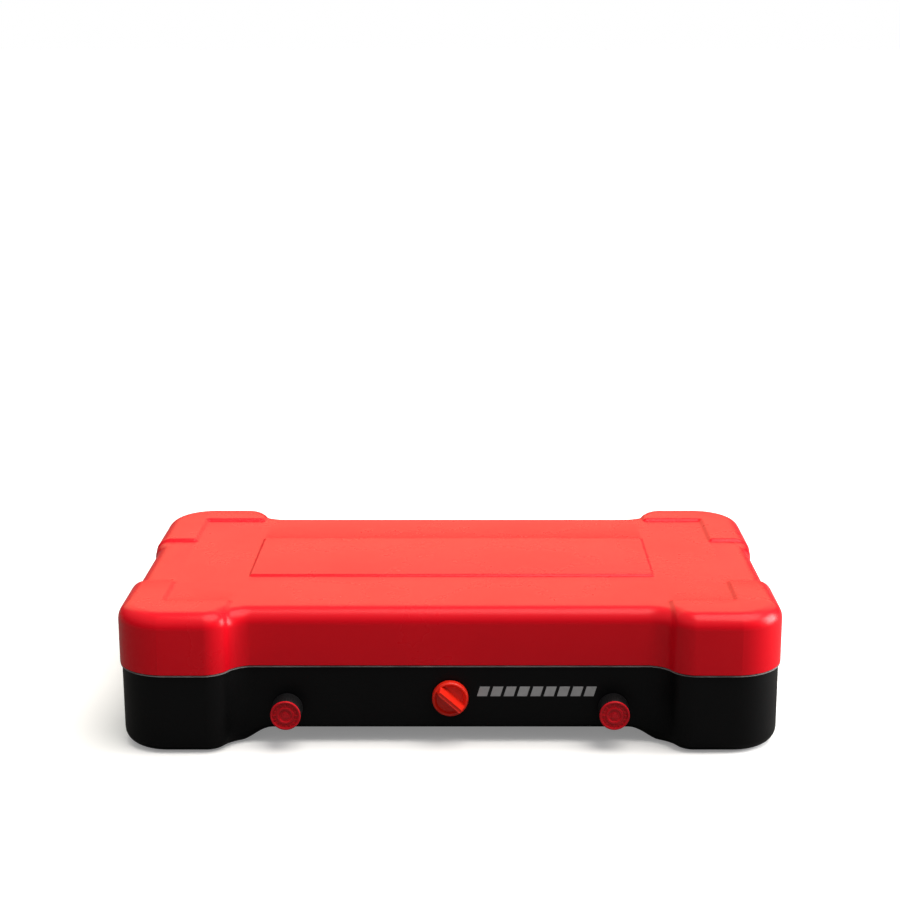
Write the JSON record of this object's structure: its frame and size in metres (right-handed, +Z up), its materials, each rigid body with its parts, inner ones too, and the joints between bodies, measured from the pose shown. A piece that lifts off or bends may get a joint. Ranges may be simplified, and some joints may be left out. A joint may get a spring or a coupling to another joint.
{
  "type": "camp stove",
  "caption": "Folding gas camp stove, shut: red steel lid over a black pan with corner feet, side latches, knobs, grate, burners and fold-out windscreens.",
  "frame": {"origin": "on the ground under the middle of the case", "axes": "+X to the user's right, -Y towards the user, +Z up"},
  "size_m": [0.6614, 0.3889, 0.1415],
  "materials": {
    "red_paint": "smooth satin-gloss powder coat, red",
    "black_paint": "satin black powder coat with a fine texture",
    "stainless_steel": "brushed stainless sheet",
    "nickel_plate": "nickel-plated steel wire",
    "zinc_plate": "zinc-plated steel",
    "cast_aluminium": "as-cast aluminium",
    "brass": "machined brass",
    "ceramic": "unglazed white ceramic with a steel tip",
    "black_plastic": "moulded black plastic, fine grain",
    "red_plastic": "moulded red plastic, semi-gloss",
    "wire_jacket": "silicone wire jacket"
  },
  "bodies": {
    "base": {"base_case": "black_paint", "drip_tray": "stainless_steel", "valve_cover": "stainless_steel", "cross_pipe": "zinc_plate", "feed_pipe": "zinc_plate", "gas_inlet": "brass", "piezo_body": "black_plastic", "tray_ledge_left": "zinc_plate", "hinge_leaf_base_left": "black_paint", "hinge_pin_left": "zinc_plate", "latch_bracket_left": "black_paint", "burner_body_left": "cast_aluminium", "burner_cap_left": "zinc_plate", "burner_bracket_left": "zinc_plate", "mixer_tube_left": "zinc_plate", "electrode_left": "ceramic", "valve_body_left": "brass", "igniter_wire_left": "wire_jacket", "tray_ledge_right": "zinc_plate", "hinge_leaf_base_right": "black_paint", "hinge_pin_right": "zinc_plate", "latch_bracket_right": "black_paint", "burner_body_right": "cast_aluminium", "burner_cap_right": "zinc_plate", "burner_bracket_right": "zinc_plate", "mixer_tube_right": "zinc_plate", "electrode_right": "ceramic", "valve_body_right": "brass", "igniter_wire_right": "wire_jacket"},
    "grate": {"cooking_grate": "nickel_plate"},
    "lid": {"lid_shell": "red_paint", "hinge_leaf_lid_left": "black_paint", "windscreen_pin_left": "zinc_plate", "windscreen_clip_front_left": "zinc_plate", "windscreen_clip_rear_left": "zinc_plate", "latch_keeper_left": "black_paint", "hinge_leaf_lid_right": "black_paint", "windscreen_pin_right": "zinc_plate", "windscreen_clip_front_right": "zinc_plate", "windscreen_clip_rear_right": "zinc_plate", "latch_keeper_right": "black_paint"},
    "igniter": {"igniter_knob": "red_plastic", "igniter_spindle": "zinc_plate"},
    "windscreen_left": {"windscreen_left": "stainless_steel"},
    "latch_lever_left": {"latch_lever_left": "black_paint"},
    "latch_loop_left": {"latch_loop_left": "black_paint"},
    "knob_left": {"knob_barrel_left": "black_plastic", "knob_face_left": "red_plastic", "valve_stem_left": "brass"},
    "windscreen_right": {"windscreen_right": "stainless_steel"},
    "latch_lever_right": {"latch_lever_right": "black_paint"},
    "latch_loop_right": {"latch_loop_right": "black_paint"},
    "knob_right": {"knob_barrel_right": "black_plastic", "knob_face_right": "red_plastic", "valve_stem_right": "brass"}
  },
  "joints": [
    {"name": "lid_open", "type": "hinge", "parent": "base", "child": "lid", "pos_m": [0, 0.193, 0.0815], "axis": [-1, 0, 0], "range_deg": [0, 100]},
    {"name": "grate_lift", "type": "slide", "parent": "base", "child": "grate", "axis": [0, 0, 1], "range_m": [0, 0.035]},
    {"name": "igniter_turn", "type": "hinge", "parent": "base", "child": "igniter", "pos_m": [0, -0.1625, 0.0485], "axis": [0, 1, 0], "range_deg": [0, 80], "stiffness_Nm_per_rad": 0.08},
    {"name": "windscreen_left_fold", "type": "hinge", "parent": "lid", "child": "windscreen_left", "pos_m": [-0.304, 0, 0.1265], "axis": [0, 1, 0], "range_deg": [0, 90]},
    {"name": "latch_left_lever_turn", "type": "hinge", "parent": "base", "child": "latch_lever_left", "pos_m": [-0.3262, -0.1, 0.066], "axis": [0, 1, 0], "range_deg": [0, 110]},
    {"name": "latch_left_loop_turn", "type": "hinge", "parent": "latch_lever_left", "child": "latch_loop_left", "pos_m": [-0.3262, -0.1, 0.0597], "axis": [0, -1, 0], "range_deg": [0, 260]},
    {"name": "knob_left_turn", "type": "hinge", "parent": "base", "child": "knob_left", "pos_m": [-0.159, -0.1625, 0.038], "axis": [0, -1, 0], "range_deg": [0, 270]},
    {"name": "windscreen_right_fold", "type": "hinge", "parent": "lid", "child": "windscreen_right", "pos_m": [0.304, 0, 0.1265], "axis": [0, -1, 0], "range_deg": [0, 90]},
    {"name": "latch_right_lever_turn", "type": "hinge", "parent": "base", "child": "latch_lever_right", "pos_m": [0.3262, -0.1, 0.066], "axis": [0, -1, 0], "range_deg": [0, 110]},
    {"name": "latch_right_loop_turn", "type": "hinge", "parent": "latch_lever_right", "child": "latch_loop_right", "pos_m": [0.3262, -0.1, 0.0597], "axis": [0, 1, 0], "range_deg": [0, 260]},
    {"name": "knob_right_turn", "type": "hinge", "parent": "base", "child": "knob_right", "pos_m": [0.159, -0.1625, 0.038], "axis": [0, -1, 0], "range_deg": [0, 270]}
  ],
  "couplings": [
    {"joint": "windscreen_left_fold", "follows": "lid_open", "ratio": 0.9},
    {"joint": "latch_left_lever_turn", "follows": "lid_open", "ratio": 1.1},
    {"joint": "latch_left_loop_turn", "follows": "lid_open", "ratio": 2.6},
    {"joint": "windscreen_right_fold", "follows": "lid_open", "ratio": 0.9},
    {"joint": "latch_right_lever_turn", "follows": "lid_open", "ratio": 1.1},
    {"joint": "latch_right_loop_turn", "follows": "lid_open", "ratio": 2.6}
  ]
}
